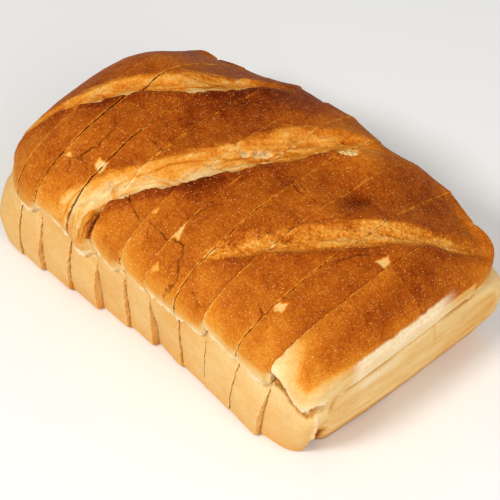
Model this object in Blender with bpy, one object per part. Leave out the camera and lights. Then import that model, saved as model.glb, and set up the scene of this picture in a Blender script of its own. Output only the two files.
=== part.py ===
# White tin loaf, cut in slices that still keep the shape of the whole loaf.
import bpy
import bmesh
import math
import numpy as np

# Tin-shaped lower part, lengths in metres
BASE_HALF = 0.0492
FOOT_R = 0.0036
RIM_HALF = 0.0546
RIM_Z = 0.0405
WALL_BULGE = 0.0009

# Rolled lip where the risen dome hangs over the tin-shaped wall
LIP_OUT = 0.0039
LIP_Z = 0.0501

# Height of the rim at six places along each piece on the visible side, and how far the
# widest part of the lip follows it; the hidden side repeats it turned round and softer
RIM_LINE = [
    (0.0405, 0.0415, 0.0415, 0.0410, 0.0400, 0.0395),
    (0.0390, 0.0400, 0.0402, 0.0402, 0.0404, 0.0408),
    (0.0480, 0.0462, 0.0448, 0.0438, 0.0426, 0.0404),
    (0.0396, 0.0368, 0.0354, 0.0348, 0.0340, 0.0342),
    (0.0475, 0.0430, 0.0412, 0.0408, 0.0390, 0.0386),
    (0.0475, 0.0458, 0.0438, 0.0432, 0.0418, 0.0408),
    (0.0434, 0.0422, 0.0408, 0.0409, 0.0408, 0.0406),
    (0.0396, 0.0394, 0.0390, 0.0388, 0.0386, 0.0386),
    (0.0455, 0.0430, 0.0415, 0.0398, 0.0390, 0.0396),
    (0.0392, 0.0384, 0.0383, 0.0377, 0.0366, 0.0370),
    (0.0500, 0.0490, 0.0455, 0.0409, 0.0391, 0.0423),
]
LIP_FOLLOW = 0.30
BACK_SHARE = 0.60

# Rise of the dome, as the power of its rounded section
DOME_POWER = 2.1

# Where the ten cuts stand on the base, and how far each one leans
CUT_X = [-0.0748, -0.0617, -0.0448, -0.0282, -0.0122, 0.0024, 0.0184, 0.0322, 0.0482, 0.0646]
CUT_LEAN = [0.210, 0.200, 0.212, 0.160, 0.178, 0.172, 0.182, 0.197, 0.250, 0.262]

# The two end walls: how far out they stand at heights above the base
END_Z = [0.0000, 0.0150, 0.0300, 0.0405, 0.0440, 0.0501]
FAR_X = [-0.0915, -0.0940, -0.0912, -0.0868, -0.0858, -0.0828]
NEAR_X = [0.0856, 0.0935, 0.0966, 0.0968, 0.0986, 0.0992]

# Rounding of the corners seen from above: radius at the base, radius at the lip and how
# late it changes with height, first for the visible side and then for the hidden side
FAR_CORNERS = ((0.0100, 0.0270, 1.5), (0.0120, 0.0270, 1.5))
NEAR_CORNERS = ((0.0120, 0.0060, 1.5), (0.0060, 0.0270, 8.0))

# Bow of the near end wall towards its visible corner
BOW_DEPTH = 0.0022
BOW_FROM = 0.0150
BOW_LENGTH = 0.0500
BOW_TOP = (0.0100, 0.0360)

# Length over which the dome falls to the lip at the ends
FAR_FALL = 0.0400
NEAR_FALL = 0.0250
FALL_POWER = 2.2

# Crown height along the loaf, and the extra height and width of its hidden long side
CROWN_X = [-0.0880, -0.0748, -0.0617, -0.0448, -0.0282, -0.0122, 0.0024, 0.0184, 0.0322,
           0.0482, 0.0646, 0.0842]
CROWN_Z = [0.0822, 0.0832, 0.0830, 0.0820, 0.0795, 0.0775, 0.0768, 0.0760, 0.0735,
           0.0700, 0.0680, 0.0670]
BACK_LIFT = [-0.0085, -0.0105, -0.0095, -0.0055, 0.0000, 0.0026, 0.0040, 0.0036, 0.0002,
             -0.0044, -0.0075, -0.0085]
BACK_OUT = [0.0030, -0.0036, -0.0012, 0.0000, 0.0015, 0.0012, 0.0008, -0.0018, 0.0014,
            0.0014, -0.0040, 0.0012]

# Gap left by the knife, and the two cuts that stand open at the top
KNIFE_GAP = 0.0004
OPEN_GAP = {1: 0.0006, 2: 0.0006}

# How far each piece sits out of line, sideways and upwards
PIECE_OUT = [0.0000, 0.0002, -0.0003, 0.0003, -0.0004, 0.0002, -0.0002, 0.0003, -0.0002,
             0.0003, 0.0000]
PIECE_UP = [0.0000, 0.0003, -0.0002, 0.0004, -0.0003, 0.0002, 0.0004, -0.0002, 0.0003,
            -0.0001, 0.0004]

# How far the far edge of each piece stands above the piece before it
EDGE_STEP = 0.0005

# How far the foot of each piece stands out at its far and near face, on the visible side
FOOT_OUT = [(0.0002, 0.0027), (0.0019, 0.0033), (0.0008, 0.0021), (0.0010, 0.0019),
            (-0.0018, -0.0006), (-0.0015, -0.0001), (-0.0037, -0.0010), (-0.0016, 0.0000),
            (-0.0001, 0.0020), (0.0022, 0.0044), (0.0016, 0.0002)]

# The same on the hidden side
BACK_FOOT = [(0.0004, 0.0012), (0.0008, 0.0020), (0.0004, 0.0014), (0.0008, 0.0016),
             (-0.0002, 0.0008), (0.0006, 0.0016), (0.0000, 0.0010), (0.0006, 0.0012),
             (0.0000, 0.0014), (0.0008, 0.0018), (0.0010, 0.0040)]

# Fold in the near end wall beside its visible corner
FOLD_Y = -0.0395
FOLD_WIDTH = 0.0030
FOLD_DEPTH = 0.0050
FOLD_TOP = 0.0380

# Diagonal slashes: sideways places, lengthways places, half widths and depth
SLASHES = [
    {"y": [-0.050, -0.031, -0.024, -0.008, 0.007, 0.025, 0.045],
     "x": [-0.0800, -0.0660, -0.0570, -0.0470, -0.0340, -0.0270, -0.0160],
     "w": [0.0040, 0.0045, 0.0055, 0.0060, 0.0070, 0.0065, 0.0040],
     "depth": 0.0020},
    {"y": [-0.0585, -0.050, -0.040, -0.033, -0.027, -0.014, 0.008, 0.023, 0.033, 0.045],
     "x": [-0.0310, -0.0220, -0.0145, -0.0085, -0.0035, 0.0030, 0.0140, 0.0200, 0.0280, 0.0350],
     "w": [0.0060, 0.0055, 0.0058, 0.0062, 0.0070, 0.0080, 0.0090, 0.0080, 0.0070, 0.0050],
     "depth": 0.0028},
    {"y": [-0.046, -0.040, -0.027, -0.018, -0.008, 0.001, 0.011, 0.020, 0.029, 0.045],
     "x": [0.0300, 0.0340, 0.0440, 0.0510, 0.0570, 0.0635, 0.0695, 0.0755, 0.0820, 0.0900],
     "w": [0.0030, 0.0050, 0.0070, 0.0080, 0.0085, 0.0085, 0.0080, 0.0070, 0.0060, 0.0050],
     "depth": 0.0018},
]

# Hollows and swellings of the dome: place, reach lengthways and sideways, height
SWELLINGS = [
    (0.0510, 0.0180, 0.0080, 0.0100, -0.0022),
    (0.0280, -0.0200, 0.0140, 0.0180, 0.0012),
    (0.0450, 0.0300, 0.0120, 0.0120, 0.0012),
    (-0.0300, -0.0200, 0.0160, 0.0200, 0.0012),
    (-0.0560, 0.0150, 0.0140, 0.0120, 0.0010),
    (0.0100, -0.0300, 0.0050, 0.0080, 0.0012),
]

# Places round half a section: 0 is the middle of the base and 1 the crown
FOOT_AT = 0.20
WALL_AT = 0.26
RIM_AT = 0.46
LIP_AT = 0.54

# How finely the solids are drawn
HALF_PLACES = [0.0, FOOT_AT, 0.23, WALL_AT, 0.33, 0.40, RIM_AT, 0.475, 0.495, 0.517, LIP_AT]
FOLD_PLACES = [0.05, 0.10, 0.14, 0.16, 0.172, 0.184]
DOME_STEPS = 31
SLICE_STATIONS = [0.0, 0.25, 0.5, 0.75, 1.0]
HEEL_STATIONS = [0.0, 0.20, 0.38, 0.54, 0.68, 0.80, 0.90, 0.96, 1.0]
END_ROUNDS = [0.95, 0.86, 0.66, 0.36]

LAST = len(CUT_X)
NAMES = ["heel_far"] + ["slice_%02d" % (i + 1) for i in range(LAST - 1)] + ["heel_near"]


# Smooth step from 0 to 1 between two values
def ease(value, low, high):
    t = np.clip((value - low) / (high - low), 0.0, 1.0)
    return t * t * (3.0 - 2.0 * t)


# Slow unevenness of the wall and lip along the loaf
def sway(x, phase):
    return 0.6 * np.sin(x * 95.0 + phase) + 0.4 * np.sin(x * 213.0 + 2.3 * phase)


# Slashes, hollows and swellings of the dome at a point seen from above
def dome_relief(x, y):
    total = np.zeros(np.broadcast(x, y).shape)
    for slash in SLASHES:
        start = slash["y"][0]
        stop = slash["y"][-1]
        centre = np.interp(y, slash["y"], slash["x"])
        width = np.interp(y, slash["y"], slash["w"])
        across = (x - centre) / width
        inside = np.clip(1.0 - across * across, 0.0, 1.0)
        length = ease(y, start - 0.004, start + 0.010) * (1.0 - ease(y, stop - 0.010, stop + 0.004))
        shoulder = np.exp(-((np.abs(across) - 1.35) / 0.45) ** 2)
        total = total + slash["depth"] * length * (0.22 * shoulder - inside ** 1.2)
    for px, py, rx, ry, height in SWELLINGS:
        total = total + height * np.exp(-((x - px) / rx) ** 2 - ((y - py) / ry) ** 2)
    return total


# Half a section from the middle of the base to the crown
def half_section(s, rim, rim_z, lip, lip_z, crown):
    foot = np.clip((s - FOOT_AT) / (WALL_AT - FOOT_AT), 0.0, 1.0) * (math.pi / 2.0)
    wall = np.clip((s - WALL_AT) / (RIM_AT - WALL_AT), 0.0, 1.0)
    roll = np.clip((s - RIM_AT) / (LIP_AT - RIM_AT), 0.0, 1.0) * (math.pi / 2.0)
    dome = np.clip((s - LIP_AT) / (1.0 - LIP_AT), 0.0, 1.0) * (math.pi / 2.0)
    y = (BASE_HALF - FOOT_R) * np.clip(s / FOOT_AT, 0.0, 1.0)
    y = y + FOOT_R * np.sin(foot)
    y = y + (rim - BASE_HALF) * wall + WALL_BULGE * np.sin(math.pi * wall)
    y = y + (lip - rim) * np.sin(roll)
    z = FOOT_R * (1.0 - np.cos(foot)) + (rim_z - FOOT_R) * wall
    z = z + (lip_z - rim_z) * (1.0 - np.cos(roll))
    power = 2.0 / DOME_POWER
    y = np.where(s > LIP_AT, lip * np.clip(np.cos(dome), 0.0, 1.0) ** power, y)
    z = np.where(s > LIP_AT, lip_z + (crown - lip_z) * np.sin(dome) ** power, z)
    return y, z


# How far the near end wall stands back: the fold beside its visible corner, and the bow
def end_fold(y, z):
    middle = FOLD_Y - 0.20 * z
    across = np.exp(-((y - middle) / FOLD_WIDTH) ** 2)
    fold = FOLD_DEPTH * across * (1.0 - ease(z, 0.002, FOLD_TOP))
    bow = BOW_DEPTH * np.clip((BOW_FROM - y) / BOW_LENGTH, 0.0, None) ** 2
    return fold + bow * (1.0 - ease(z, *BOW_TOP))


# How far out the end wall of a heel stands inside its outline
def end_wall(k, y, z):
    if k == 0:
        return np.interp(z, END_Z, FAR_X)
    return np.interp(z, END_Z, NEAR_X) - end_fold(y, z)


# Points of piece k: ring is the place round the section, u the place along the piece
# ring runs from the base, 0, up the visible side to the crown, 1, and down to the base, 2
def piece_points(k, ring, u):
    side = np.where(ring <= 1.0, -1.0, 1.0)
    s = np.where(ring <= 1.0, ring, 2.0 - ring)
    on_dome = s > LIP_AT
    start = FAR_X[0] if k == 0 else CUT_X[k - 1] + KNIFE_GAP / 2.0
    stop = NEAR_X[0] if k == LAST else CUT_X[k] - KNIFE_GAP / 2.0
    lean_a = 0.0 if k == 0 else CUT_LEAN[k - 1]
    lean_b = 0.0 if k == LAST else CUT_LEAN[k]

    # section of the station, before the ends are rounded
    level = start + (stop - start) * u
    crown = np.interp(level, CROWN_X, CROWN_Z) + PIECE_UP[k]
    places = np.linspace(0.0, 1.0, len(RIM_LINE[k]))
    turned = np.interp(1.0 - u, places, RIM_LINE[LAST - k]) - RIM_Z
    rim_z = np.where(side < 0.0, np.interp(u, places, RIM_LINE[k]), RIM_Z + BACK_SHARE * turned)
    lip_z = LIP_Z + LIP_FOLLOW * (rim_z - RIM_Z) + 0.5 * PIECE_UP[k]
    rim = RIM_HALF + 0.0006 * sway(level, 0.4 - side)
    lip = rim + LIP_OUT + 0.0005 * sway(level, 2.2 + side)
    y, z = half_section(s, rim, rim_z, lip, lip_z, crown)
    y = y + np.interp(level, CROWN_X, BACK_OUT) * ease(side * y, 0.040, 0.056)
    wall = np.clip((z - FOOT_R) / (rim_z - FOOT_R), 0.0, 1.0)
    lift = np.interp(level, CROWN_X, BACK_LIFT) * ease(side * y, 0.005, 0.045)
    z = z + lift * ease(s, LIP_AT, 0.70)

    # both faces of the piece, and the place between them
    held_z = np.where(on_dome, lip_z, z)
    above = np.clip((held_z - rim_z) / (lip_z - rim_z), 0.0, 1.0)
    end_z = RIM_Z * np.clip(held_z / rim_z, 0.0, 1.0) + (LIP_Z - RIM_Z) * above
    face_a = np.interp(end_z, END_Z, FAR_X) if k == 0 else start + lean_a * z
    face_b = np.interp(end_z, END_Z, NEAR_X) if k == LAST else stop + lean_b * z
    x = face_a + (face_b - face_a) * u
    level_z = z

    # fall of the dome and rounding of the corners towards the two ends
    rise = 1.0
    for way, fall, corners, tip in ((-1, FAR_FALL, FAR_CORNERS, FAR_X),
                                    (1, NEAR_FALL, NEAR_CORNERS, NEAR_X)):
        reach = np.clip(way * (np.interp(end_z, END_Z, tip) - x), 0.0, None)
        t = np.clip(1.0 - reach / fall, 0.0, 1.0)
        rise = rise * np.sqrt(np.clip(1.0 - t ** FALL_POWER, 0.0, 1.0))
        low_r, top_r, late = [np.where(side < 0.0, a, b) for a, b in zip(*corners)]
        radius = low_r + (top_r - low_r) * wall ** late
        inner = np.clip(radius - reach, 0.0, None)
        drawn = radius - np.sqrt(np.clip(radius ** 2 - inner ** 2, 0.0, None))
        y = y * (1.0 - drawn / lip)
    z = np.where(on_dome, lip_z + (z - lip_z) * rise, z)

    # knife cuts that stand open at the top of the visible side
    open_part = ease(z, 0.030, 0.062) * (1.0 - ease(side * y, -0.018, 0.022))
    x = x - OPEN_GAP.get(k, 0.0) * open_part * u ** 3
    x = x + 0.3 * OPEN_GAP.get(k - 1, 0.0) * open_part * (1.0 - u) ** 3

    # each piece stands a little out of line, its foot spread towards the near end
    low = (1.0 - ease(z, 0.010, 0.040)) * ease(s, 0.10, FOOT_AT)
    far_foot, near_foot = [np.where(side < 0.0, a, b) for a, b in zip(FOOT_OUT[k], BACK_FOOT[k])]
    y = side * (y + (far_foot + (near_foot - far_foot) * u) * low) + PIECE_OUT[k]

    # relief of the dome, and the cut faces kept flat under it
    weight = ease(s, 0.55, 0.72) * (0.25 + 0.75 * rise)
    z = z + weight * (dome_relief(x, y) + EDGE_STEP * (1.0 - u) ** 2)
    x = x + (lean_a + (lean_b - lean_a) * u) * (z - level_z)
    if k == LAST:
        x = x - end_fold(y, z) * u ** 6
    return x, y, z


# Places round the whole section
def ring_places(k):
    half = list(HALF_PLACES)
    if k == LAST:
        half = sorted(half + FOLD_PLACES)
    half = half + [LIP_AT + (1.0 - LIP_AT) * (i + 1) / DOME_STEPS for i in range(DOME_STEPS)]
    return np.array(half + [2.0 - s for s in reversed(half[1:-1])])


# Places along a piece, closer together towards the round end of a heel
def stations(k):
    if k == 0:
        return [1.0 - u for u in reversed(HEEL_STATIONS)]
    return HEEL_STATIONS if k == LAST else SLICE_STATIONS


# Faces between two rounds of points
def band(first, second, outward):
    faces = []
    count = len(first)
    for j in range(count):
        n = (j + 1) % count
        quad = (first[j], first[n], second[n], second[j])
        faces.append(quad if outward else quad[::-1])
    return faces


# One piece as points and faces
def piece_mesh(k):
    ring = ring_places(k)
    count = len(ring)
    points = []
    rounds = []
    for u in stations(k):
        rounds.append(list(range(len(points), len(points) + count)))
        points.extend(zip(*piece_points(k, ring, np.full(count, u))))
    faces = []
    for one, other in zip(rounds, rounds[1:]):
        faces.extend(band(one, other, True))

    # the cut faces and end walls, closed round by round towards the middle
    for outer, outward in ((rounds[0], False), (rounds[-1], True)):
        outline = np.array([points[i] for i in outer])
        middle = outline.mean(axis=0)
        if k == (LAST if outward else 0):
            middle[2] = 0.45 * outline[:, 2].max()
            for scale in END_ROUNDS:
                inner = middle + (outline - middle) * scale
                inner[:, 0] = end_wall(k, inner[:, 1], inner[:, 2])
                ids = list(range(len(points), len(points) + count))
                points.extend(map(tuple, inner))
                faces.extend(band(outer, ids, outward))
                outer = ids
            middle[0] = end_wall(k, middle[1], middle[2])
        hub = len(points)
        points.append(tuple(middle))
        for j in range(count):
            tri = (outer[j], outer[(j + 1) % count], hub)
            faces.append(tri if outward else tri[::-1])
    return np.array(points), faces


# Crust colour of a piece
def crust_material(name):
    material = bpy.data.materials.new(name)
    material.use_nodes = True
    shader = material.node_tree.nodes["Principled BSDF"]
    shader.inputs["Base Color"].default_value = (0.58, 0.25, 0.06, 1.0)
    shader.inputs["Roughness"].default_value = 0.62
    return material


# A closed object with outward faces
def add_piece(name, points, faces):
    mesh = bpy.data.meshes.new(name)
    mesh.from_pydata([tuple(p) for p in points], [], faces)
    work = bmesh.new()
    work.from_mesh(mesh)
    bmesh.ops.triangulate(work, faces=work.faces[:])
    bmesh.ops.recalc_face_normals(work, faces=work.faces[:])
    work.to_mesh(mesh)
    work.free()
    mesh.materials.append(crust_material(name + "_crust"))
    bpy.context.scene.collection.objects.link(bpy.data.objects.new(name, mesh))
    mesh.shade_smooth()
    mesh.set_sharp_from_angle(angle=math.radians(32.0))


for old in list(bpy.data.objects):
    bpy.data.objects.remove(old, do_unlink=True)

built = [piece_mesh(k) for k in range(LAST + 1)]
low = np.min([points.min(axis=0) for points, faces in built], axis=0)
high = np.max([points.max(axis=0) for points, faces in built], axis=0)
origin = np.array([(low[0] + high[0]) / 2.0, (low[1] + high[1]) / 2.0, low[2]])
for name, (points, faces) in zip(NAMES, built):
    add_piece(name, points - origin, faces)
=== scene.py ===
# Sliced white tin loaf: baked crust, torn slashes and cut faces drawn finely over the solids.
import itertools
import math

import bpy
import numpy as np
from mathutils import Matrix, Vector


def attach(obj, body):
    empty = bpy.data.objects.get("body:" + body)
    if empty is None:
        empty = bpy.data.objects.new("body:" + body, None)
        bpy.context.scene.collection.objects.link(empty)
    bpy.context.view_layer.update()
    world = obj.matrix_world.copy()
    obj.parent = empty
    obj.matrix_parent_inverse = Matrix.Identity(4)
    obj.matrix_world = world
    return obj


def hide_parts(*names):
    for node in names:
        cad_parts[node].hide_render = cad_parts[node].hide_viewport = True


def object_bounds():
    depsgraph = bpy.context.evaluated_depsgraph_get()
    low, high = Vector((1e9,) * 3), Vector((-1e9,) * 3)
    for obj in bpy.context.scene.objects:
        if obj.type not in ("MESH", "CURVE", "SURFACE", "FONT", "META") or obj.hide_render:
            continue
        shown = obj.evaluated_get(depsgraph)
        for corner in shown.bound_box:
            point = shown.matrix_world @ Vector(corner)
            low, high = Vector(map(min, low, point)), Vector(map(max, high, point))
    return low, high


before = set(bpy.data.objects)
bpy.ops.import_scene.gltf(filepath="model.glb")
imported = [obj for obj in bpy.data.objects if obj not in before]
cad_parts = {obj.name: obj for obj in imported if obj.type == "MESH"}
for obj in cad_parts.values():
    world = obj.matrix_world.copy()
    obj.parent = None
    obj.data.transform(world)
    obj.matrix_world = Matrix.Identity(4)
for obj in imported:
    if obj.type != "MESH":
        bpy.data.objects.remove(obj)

CAD_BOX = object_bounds()


# Millimetres turned into metres
def mm(values):
    return np.array(values) / 1000.0


# Tin-shaped lower part, lengths in metres
BASE_HALF = 0.0492
FOOT_R = 0.0036
RIM_HALF = 0.0546
RIM_Z = 0.0405
WALL_BULGE = 0.0009

# Rolled lip where the risen dome hangs over the tin-shaped wall
LIP_OUT = 0.0039
LIP_Z = 0.0501

# Height of the rim at six places along each piece, on the visible side
RIM_LINE = mm([
    (40.5, 41.5, 41.5, 41, 40, 39.5),
    (39, 40, 40.2, 40.2, 40.4, 40.8),
    (48, 46.2, 44.8, 43.8, 42.6, 40.4),
    (39.6, 36.8, 35.4, 34.8, 34, 34.2),
    (47.5, 43, 41.2, 40.8, 39, 38.6),
    (47.5, 45.8, 43.8, 43.2, 41.8, 40.8),
    (43.4, 42.2, 40.8, 40.9, 40.8, 40.6),
    (39.6, 39.4, 39, 38.8, 38.6, 38.6),
    (45.5, 43, 41.5, 39.8, 39, 39.6),
    (39.2, 38.4, 38.3, 37.7, 36.6, 37),
    (50, 49, 45.5, 40.9, 39.1, 42.3),
])

# How far the lip follows the rim, and how much of this the hidden side repeats
LIP_FOLLOW = 0.3
BACK_SHARE = 0.6

# Rise of the dome, as the power of its rounded section
DOME_POWER = 2.1

# Where the ten cuts stand on the base, and how far each one leans
CUT_X = mm([-74.8, -61.7, -44.8, -28.2, -12.2, 2.4, 18.4, 32.2, 48.2, 64.6])
CUT_LEAN = [0.21, 0.2, 0.212, 0.16, 0.178, 0.172, 0.182, 0.197, 0.25, 0.262]

# The two end walls: how far out they stand at heights above the base
END_Z = mm([0, 15, 30, 40.5, 44, 50.1])
FAR_X = mm([-91.5, -94, -91.2, -86.8, -85.8, -82.8])
NEAR_X = mm([85.6, 93.5, 96.6, 96.8, 98.6, 99.2])

# Corners seen from above, visible and hidden: radius at the base and at the lip, how late it changes
FAR_CORNERS = ((0.01, 0.027, 1.5), (0.012, 0.027, 1.5))
NEAR_CORNERS = ((0.012, 0.006, 1.5), (0.006, 0.027, 8.0))

# Bow of the near end wall towards its visible corner
BOW_DEPTH = 0.0022
BOW_FROM = 0.015
BOW_LENGTH = 0.05
BOW_TOP = (0.01, 0.036)

# Length over which the dome falls to the lip at the ends
FAR_FALL = 0.04
NEAR_FALL = 0.025
FALL_POWER = 2.2

# Crown height along the loaf, and the extra height and width of its hidden long side
CROWN_X = mm([-88, -74.8, -61.7, -44.8, -28.2, -12.2, 2.4, 18.4, 32.2, 48.2, 64.6, 84.2])
CROWN_Z = mm([82.2, 83.2, 83, 82, 79.5, 77.5, 76.8, 76, 73.5, 70, 68, 67])
BACK_LIFT = mm([-8.5, -10.5, -9.5, -5.5, 0, 2.6, 4, 3.6, 0.2, -4.4, -7.5, -8.5])
BACK_OUT = mm([3, -3.6, -1.2, 0, 1.5, 1.2, 0.8, -1.8, 1.4, 1.4, -4, 1.2])

# Gap left by the knife, and the two cuts that stand open at the top
KNIFE_GAP = 0.0003
OPEN_GAP = {1: 0.0006, 2: 0.0006}

# How far each piece sits out of line, sideways and upwards
PIECE_OUT = mm([0, 0.2, -0.3, 0.3, -0.4, 0.2, -0.2, 0.3, -0.2, 0.3, 0])
PIECE_UP = mm([0, 0.3, -0.2, 0.4, -0.3, 0.2, 0.4, -0.2, 0.3, -0.1, 0.4])

# How far the far edge of each piece stands above the piece before it
EDGE_STEP = 0.0005

# How far the foot of each piece stands out at its far and near face, on the visible side
FOOT_OUT = mm([(0.2, 2.7), (1.9, 3.3), (0.8, 2.1), (1, 1.9), (-1.8, -0.6), (-1.5, -0.1),
               (-3.7, -1), (-1.6, 0), (-0.1, 2), (2.2, 4.4), (1.6, 0.2)])

# The same on the hidden side
BACK_FOOT = mm([(0.4, 1.2), (0.8, 2), (0.4, 1.4), (0.8, 1.6), (-0.2, 0.8), (0.6, 1.6),
                (0, 1), (0.6, 1.2), (0, 1.4), (0.8, 1.8), (1, 4)])

# Fold in the near end wall beside its visible corner
FOLD_Y = -0.0395
FOLD_WIDTH = 0.003
FOLD_DEPTH = 0.005
FOLD_TOP = 0.038

# Diagonal slashes in millimetres: sideways and lengthways places, half widths, depth
SLASHES = [{name: mm(row) for name, row in slash.items()} for slash in (
    {"y": [-50, -31, -24, -8, 7, 25, 45],
     "x": [-80, -66, -57, -47, -34, -27, -16],
     "w": [4, 4.5, 5.5, 6, 7, 6.5, 4],
     "depth": 2},
    {"y": [-58.5, -50, -40, -33, -27, -14, 8, 23, 33, 45],
     "x": [-31, -22, -14.5, -8.5, -3.5, 3, 14, 20, 28, 35],
     "w": [6, 5.5, 5.8, 6.2, 7, 8, 9, 8, 7, 5],
     "depth": 2.8},
    {"y": [-46, -40, -27, -18, -8, 1, 11, 20, 29, 45],
     "x": [30, 34, 44, 51, 57, 63.5, 69.5, 75.5, 82, 90],
     "w": [3, 5, 7, 8, 8.5, 8.5, 8, 7, 6, 5],
     "depth": 1.8},
)]

# Hollows and swellings of the dome: place, reach lengthways and sideways, height
SWELLINGS = mm([
    (51, 18, 8, 10, -2.2),
    (28, -20, 14, 18, 1.2),
    (45, 30, 12, 12, 1.2),
    (-30, -20, 16, 20, 1.2),
    (-56, 15, 14, 12, 1),
    (10, -30, 5, 8, 1.2),
])

# Places round half a section: 0 is the middle of the base and 1 the crown
FOOT_AT = 0.2
WALL_AT = 0.26
RIM_AT = 0.46
LIP_AT = 0.54

LAST = len(CUT_X)
NAMES = ["heel_far"] + ["slice_%02d" % (i + 1) for i in range(LAST - 1)] + ["heel_near"]

# Looks of each slash at sideways places: tones, the turn between them, grain, edges, crease and ledge
SLASH_LOOKS = [
    {"y": [-0.05, -0.025, 0.0, 0.045], "near": [0.48, 0.37, 0.34, 0.46],
     "far": [0.57, 0.48, 0.45, 0.52], "turn": [0.55, 0.5, 0.42, 0.5], "grain": [0.15, 0.2, 0.25, 0.15],
     "ear": [1.0, 1.0, 1.0, 0.6], "from": -2.0, "far_soft": 1.4, "near_soft": 0.14, "crease": -0.4,
     "ledge": 0.0007},
    {"y": [-0.0585, -0.04, -0.02, -0.008, 0.005, 0.02, 0.045],
     "near": [0.24, 0.26, 0.29, 0.4, 0.52, 0.53, 0.6],
     "far": [0.36, 0.44, 0.49, 0.52, 0.52, 0.54, 0.62],
     "turn": [-0.75, -0.7, -0.45, -0.15, 0.0, 0.0, 0.0],
     "grain": [0.05, 0.08, 0.14, 0.24, 0.3, 0.3, 0.2],
     "ear": [1.0, 1.0, 1.0, 0.7, 0.25, 0.15, 0.1],
     "from": -1.6, "far_soft": 0.7, "near_soft": 0.08, "crease": -0.45, "ledge": 0.001},
    {"y": [-0.046, -0.02, 0.01, 0.045], "near": [0.62, 0.55, 0.49, 0.57],
     "far": [0.63, 0.57, 0.53, 0.6], "turn": [0.0, 0.0, 0.0, 0.0], "grain": [0.6, 0.7, 0.7, 0.5],
     "ear": [0.8, 1.0, 1.0, 0.8],
     "from": -1.15, "far_soft": 0.8, "near_soft": 0.7, "crease": -0.95, "ledge": 0.0003},
]

# Looks that change along a slash
SLASH_PARTS = ("grain", "ear", "near", "far", "turn")

# Height of the near edge of a slash at which the painted shade under and beyond it is full
LEDGE = 0.0009

# Cracks of the dome: places, width and depth in millimetres, and strength of the painted shade in them
CRACKS = [
    ([(-14.2, -44.2), (-9.1, -46.0), (-5.3, -47.0), (-2.6, -48.0)], 0.32, 0.9, 0.95),
    ([(2.6, -47.1), (6.7, -47.5), (12.5, -47.6)], 0.22, 0.6, 0.75),
    ([(3.7, -49.4), (5.3, -51.3), (6.0, -52.9)], 0.22, 0.6, 0.75),
    ([(4.3, -35.1), (9.3, -36.8), (12.0, -37.1), (14.5, -37.9)], 0.19, 0.5, 0.65),
    ([(14.6, -47.9), (16.8, -47.1), (20.1, -46.1), (24.1, -44.6), (27.5, -42.7)], 0.26, 0.8, 0.85),
    ([(20.1, -46.6), (22.3, -48.9), (22.3, -50.7), (26.1, -55.3), (25.9, -57.1), (21.7, -58.9)],
     0.26, 0.8, 0.85),
    ([(-40.1, -44.1), (-38.3, -40.0), (-36.8, -38.0), (-36.7, -34.2), (-36.5, -28.8), (-38.8, -26.3)],
     0.3, 0.9, 0.95),
    ([(-43.6, -46.5), (-41.7, -48.2), (-41.5, -50.2)], 0.19, 0.5, 0.6),
    ([(-43.0, -46.3), (-39.6, -44.7), (-32.1, -44.2)], 0.19, 0.5, 0.6),
    ([(-23.5, -23.0), (-18.6, -23.1), (-12.6, -23.6)], 0.19, 0.5, 0.65),
    ([(33.1, -54.9), (36.1, -55.8), (39.4, -56.3)], 0.19, 0.5, 0.6),
    ([(60.5, -46.2), (62.9, -47.1), (63.3, -49.0)], 0.25, 0.7, 0.8),
    ([(30.4, 0.6), (33.6, -0.6), (36.1, -0.6), (38.4, -0.3)], 0.43, 1, 0.95),
    ([(34.6, 1.6), (36.8, 1.9), (40.2, 0.6), (43.0, 0.9)], 0.32, 0.8, 0.9),
    ([(28.6, 3.0), (30.4, 0.6), (31.0, -2.2)], 0.25, 0.6, 0.75),
    ([(12.6, 14.4), (17.4, 11.4), (21.6, 10.8), (27.0, 12.0)], 0.29, 0.6, 0.55),
    ([(-24.6, -18.4), (-19.5, -17.0), (-15.2, -18.4), (-11.6, -16.4)], 0.22, 0.5, 0.55),
    ([(-58.0, -55.3), (-54.0, -53.5), (-50.6, -53.7)], 0.13, 0.3, 0.35),
    ([(39.3, -26.0), (43.1, -18.3), (47.6, -12.3), (47.9, -8.3)], 0.4, 0.5, 0.5),
    ([(48.6, -9.5), (51.4, -3.8), (55.3, 3.0), (55.8, 8.6)], 0.45, 0.5, 0.5),
    ([(67.8, -15.9), (68.3, -12.1), (70.1, -7.0), (77.9, 3.1)], 0.45, 0.6, 0.5),
    ([(70.1, 10.9), (74.1, 14.5), (78.6, 17.3)], 0.35, 0.4, 0.4),
    ([(41.8, -34.8), (44.4, -33.7), (47.2, -32.4)], 0.3, 0.4, 0.45),
    ([(15.7, -35.5), (16.9, -31.4), (20.0, -26.1)], 0.35, 0.5, 0.55),
]

# Direction of the slashes seen from above
SLASH_ALONG = (0.54, 0.84)

# Chips that show the crumb: corners and depth in millimetres, and tone
CHIPS = [
    ([(-46.2, -47.2), (-45.4, -45.0), (-42.0, -46.2)], 0.4, 0.34),
    ([(-32.4, -44.2), (-32.9, -40.9), (-27.9, -40.3), (-28.2, -45.0)], 0.4, 0.3),
    ([(14.6, -47.4), (14.6, -43.2), (14.9, -39.0), (17.9, -46.4)], 0.4, 0.36),
    ([(0.5, -44.3), (1.6, -40.2), (2.4, -43.8)], 0.3, 0.42),
    ([(-1.2, -54.0), (0.6, -54.8), (-0.2, -56.7)], 0.3, 0.45),
    ([(13.4, -57.6), (15.4, -55.0), (17.1, -55.8), (15.6, -58.0)], 0.3, 0.42),
    ([(64.6, -43.6), (64.8, -40.8), (68.0, -38.2), (68.6, -43.0)], 0.4, 0.34),
    ([(77.0, -2.8), (78.6, 3.0), (81.0, 2.0), (81.6, -2.4)], 0.5, 0.34),
]

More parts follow.
